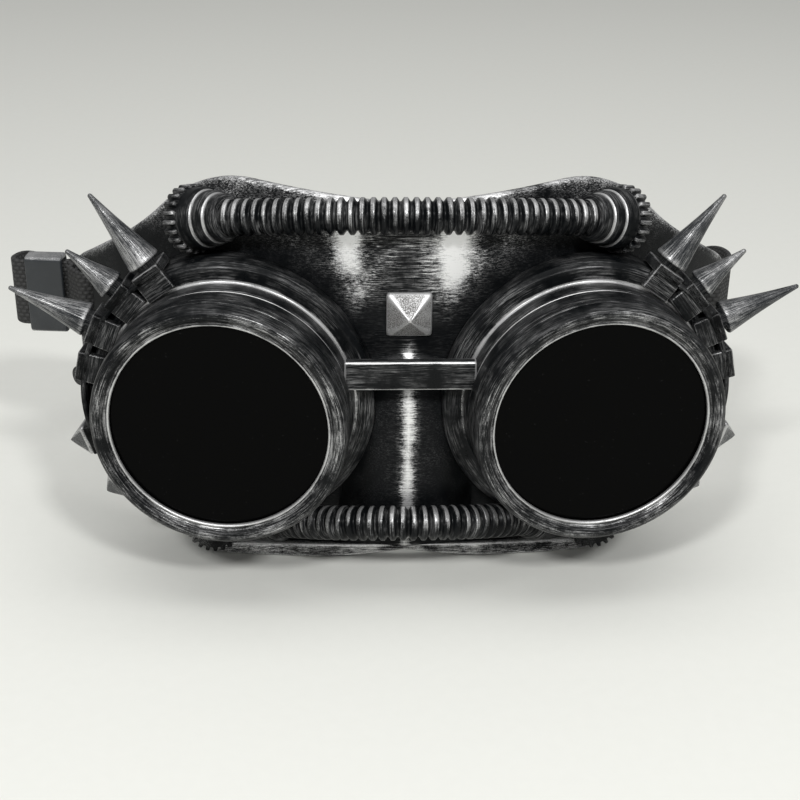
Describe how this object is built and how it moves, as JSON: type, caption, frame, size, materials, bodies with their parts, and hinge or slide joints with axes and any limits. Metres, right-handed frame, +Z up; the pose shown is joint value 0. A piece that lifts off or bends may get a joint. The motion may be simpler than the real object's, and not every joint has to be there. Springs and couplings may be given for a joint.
{
  "type": "spiked goggle mask",
  "caption": "Moulded half mask with screw-rimmed round eye barrels, side spikes, pyramid studs, ribbed hoses, toothed wheels and an elastic strap with a slider.",
  "frame": {"origin": "on the table, in the middle plane, under the middle of the two rims' inner lips", "axes": "+Z up as worn and as it stands; the lenses look towards -Y; +X is the right-hand lens seen from the front"},
  "size_m": [0.1976, 0.1476, 0.1014],
  "materials": {
    "mask_plastic": "black, dry-brushed with antique silver on the raised forms",
    "barrel_plastic": "black with antique silver rubbed on the edges",
    "gear_plastic": "black with silver on the tooth tips and steps",
    "spike_silver": "antique silver, dark in the hollows",
    "hose_plastic": "silver ribs, black grooves",
    "nickel_stud": "satin nickel",
    "lens_black": "polished near-black",
    "gasket_rubber": "matt",
    "strap_webbing": "woven elastic",
    "slider_plastic": "smooth, half gloss"
  },
  "bodies": {
    "mask": {"mask_shell": "mask_plastic", "center_stud": "nickel_stud", "bridge_bar": "barrel_plastic", "top_hose": "hose_plastic", "bottom_hose": "hose_plastic", "left_temple_gear": "gear_plastic", "left_temple_knob": "gear_plastic", "strap": "strap_webbing", "left_eye_cup": "barrel_plastic", "left_spike_collar": "gear_plastic", "left_top_hose_hub": "gear_plastic", "left_top_gear": "gear_plastic", "left_bottom_hose_hub": "gear_plastic", "left_bottom_gear": "gear_plastic", "left_upper_spike": "spike_silver", "left_middle_spike": "spike_silver", "left_lower_spike": "spike_silver", "left_upper_side_stud": "spike_silver", "left_lower_side_stud": "spike_silver", "right_eye_cup": "barrel_plastic", "right_spike_collar": "gear_plastic", "right_top_hose_hub": "gear_plastic", "right_top_gear": "gear_plastic", "right_bottom_hose_hub": "gear_plastic", "right_bottom_gear": "gear_plastic", "right_upper_spike": "spike_silver", "right_middle_spike": "spike_silver", "right_lower_spike": "spike_silver", "right_upper_side_stud": "spike_silver", "right_lower_side_stud": "spike_silver"},
    "left_lens_unit": {"left_lens": "lens_black", "left_lens_gasket": "gasket_rubber"},
    "left_rim": {"left_lens_rim": "barrel_plastic"},
    "right_lens_unit": {"right_lens": "lens_black", "right_lens_gasket": "gasket_rubber"},
    "right_rim": {"right_lens_rim": "barrel_plastic"},
    "slider": {"strap_slider": "slider_plastic"}
  },
  "joints": [
    {"name": "left_lens_draw", "type": "slide", "parent": "mask", "child": "left_lens_unit", "axis": [-0.1167, -0.9932, 0], "range_m": [0, 0.0045]},
    {"name": "left_rim_screw", "type": "hinge", "parent": "left_lens_unit", "child": "left_rim", "pos_m": [-0.0445, 0, 0.05], "axis": [-0.1167, -0.9932, 0], "range_deg": [0, 540]},
    {"name": "right_lens_draw", "type": "slide", "parent": "mask", "child": "right_lens_unit", "axis": [0.1167, -0.9932, 0], "range_m": [0, 0.0045]},
    {"name": "right_rim_screw", "type": "hinge", "parent": "right_lens_unit", "child": "right_rim", "pos_m": [0.0445, 0, 0.05], "axis": [0.1167, -0.9932, 0], "range_deg": [0, 540]},
    {"name": "slider_slide", "type": "slide", "parent": "mask", "child": "slider", "axis": [-0.9962, 0.0872, 0], "range_m": [-0.0006, 0.0015]}
  ],
  "couplings": [
    {"joint": "left_lens_draw", "follows": "left_rim_screw", "m_per_rad": 0.00047746},
    {"joint": "right_lens_draw", "follows": "right_rim_screw", "m_per_rad": 0.00047746}
  ]
}
